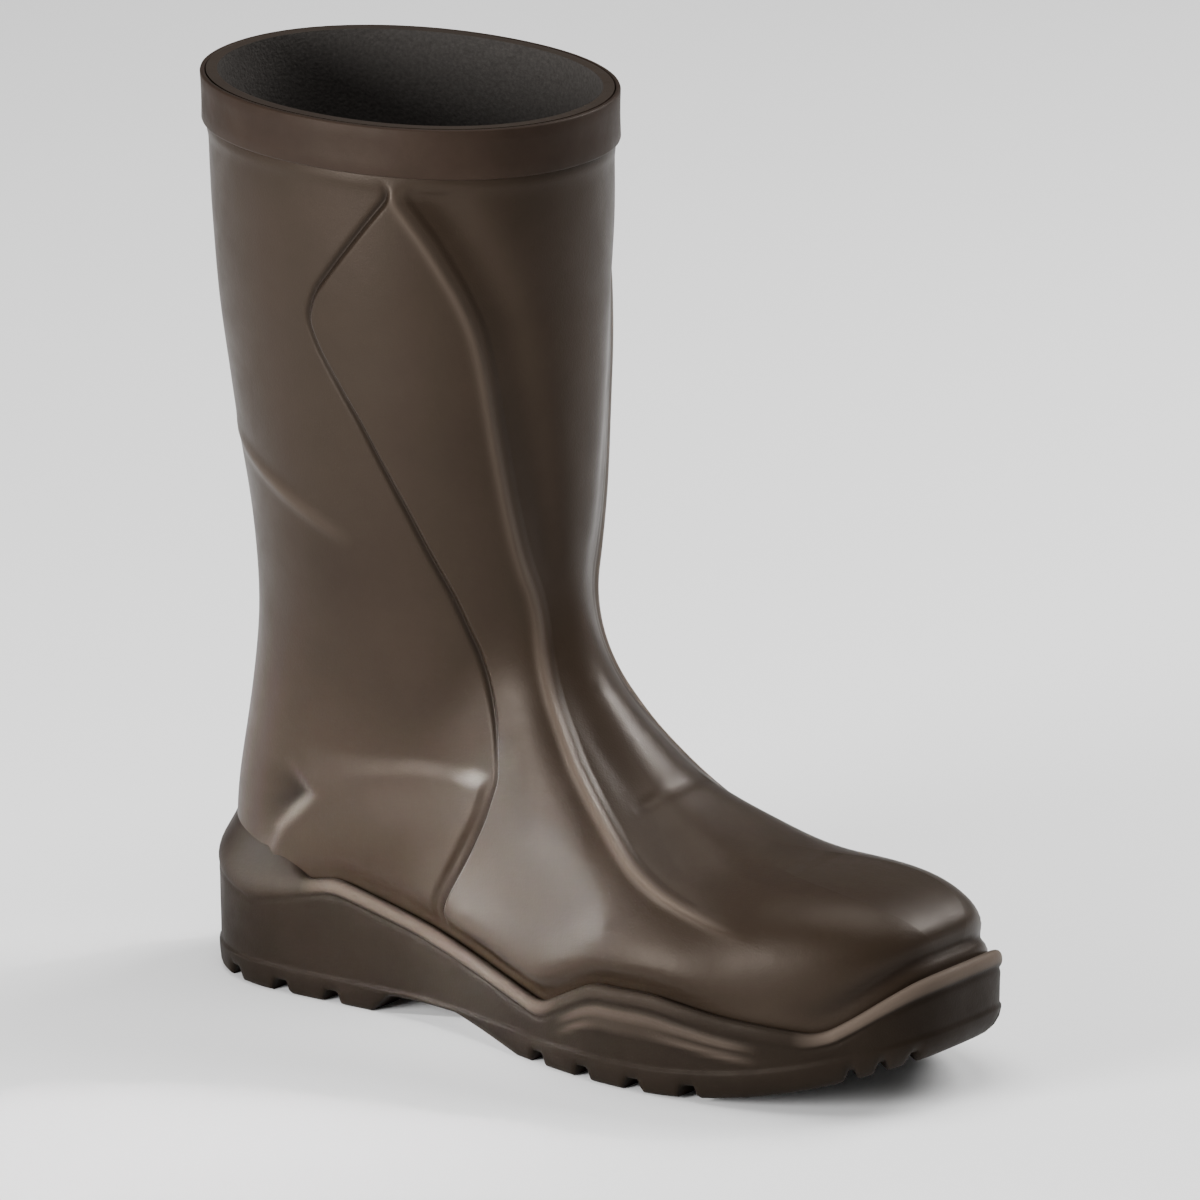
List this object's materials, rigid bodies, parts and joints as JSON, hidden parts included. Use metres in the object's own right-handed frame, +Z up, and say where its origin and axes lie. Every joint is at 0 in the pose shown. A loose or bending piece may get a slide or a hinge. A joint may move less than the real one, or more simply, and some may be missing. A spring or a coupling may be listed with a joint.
{
  "type": "safety wellington boot",
  "caption": "Right pull-on safety boot of moulded polyurethane with a tall shaft, raised side panels, toe bumper, lugged cup sole with a red tread inlay and a collar band.",
  "frame": {"origin": "on the floor under the middle of the boot's box", "axes": "+X from heel to toe, +Y to the medial side, +Z up the shaft"},
  "size_m": [0.3168, 0.1258, 0.332],
  "materials": {
    "boot_compound": "satin matte moulded polyurethane, dark brown-grey",
    "sole_compound": "matte moulded polyurethane, dark brown-grey",
    "insert_compound": "matte coral red tread inlay",
    "insole_foam": "dark felt-covered foam",
    "band_rubber": "smooth dark brown rubber tape"
  },
  "bodies": {
    "root": {"upper": "boot_compound", "outsole": "sole_compound", "tread_insert": "insert_compound", "insole": "insole_foam", "collar_band": "band_rubber"}
  },
  "joints": []
}
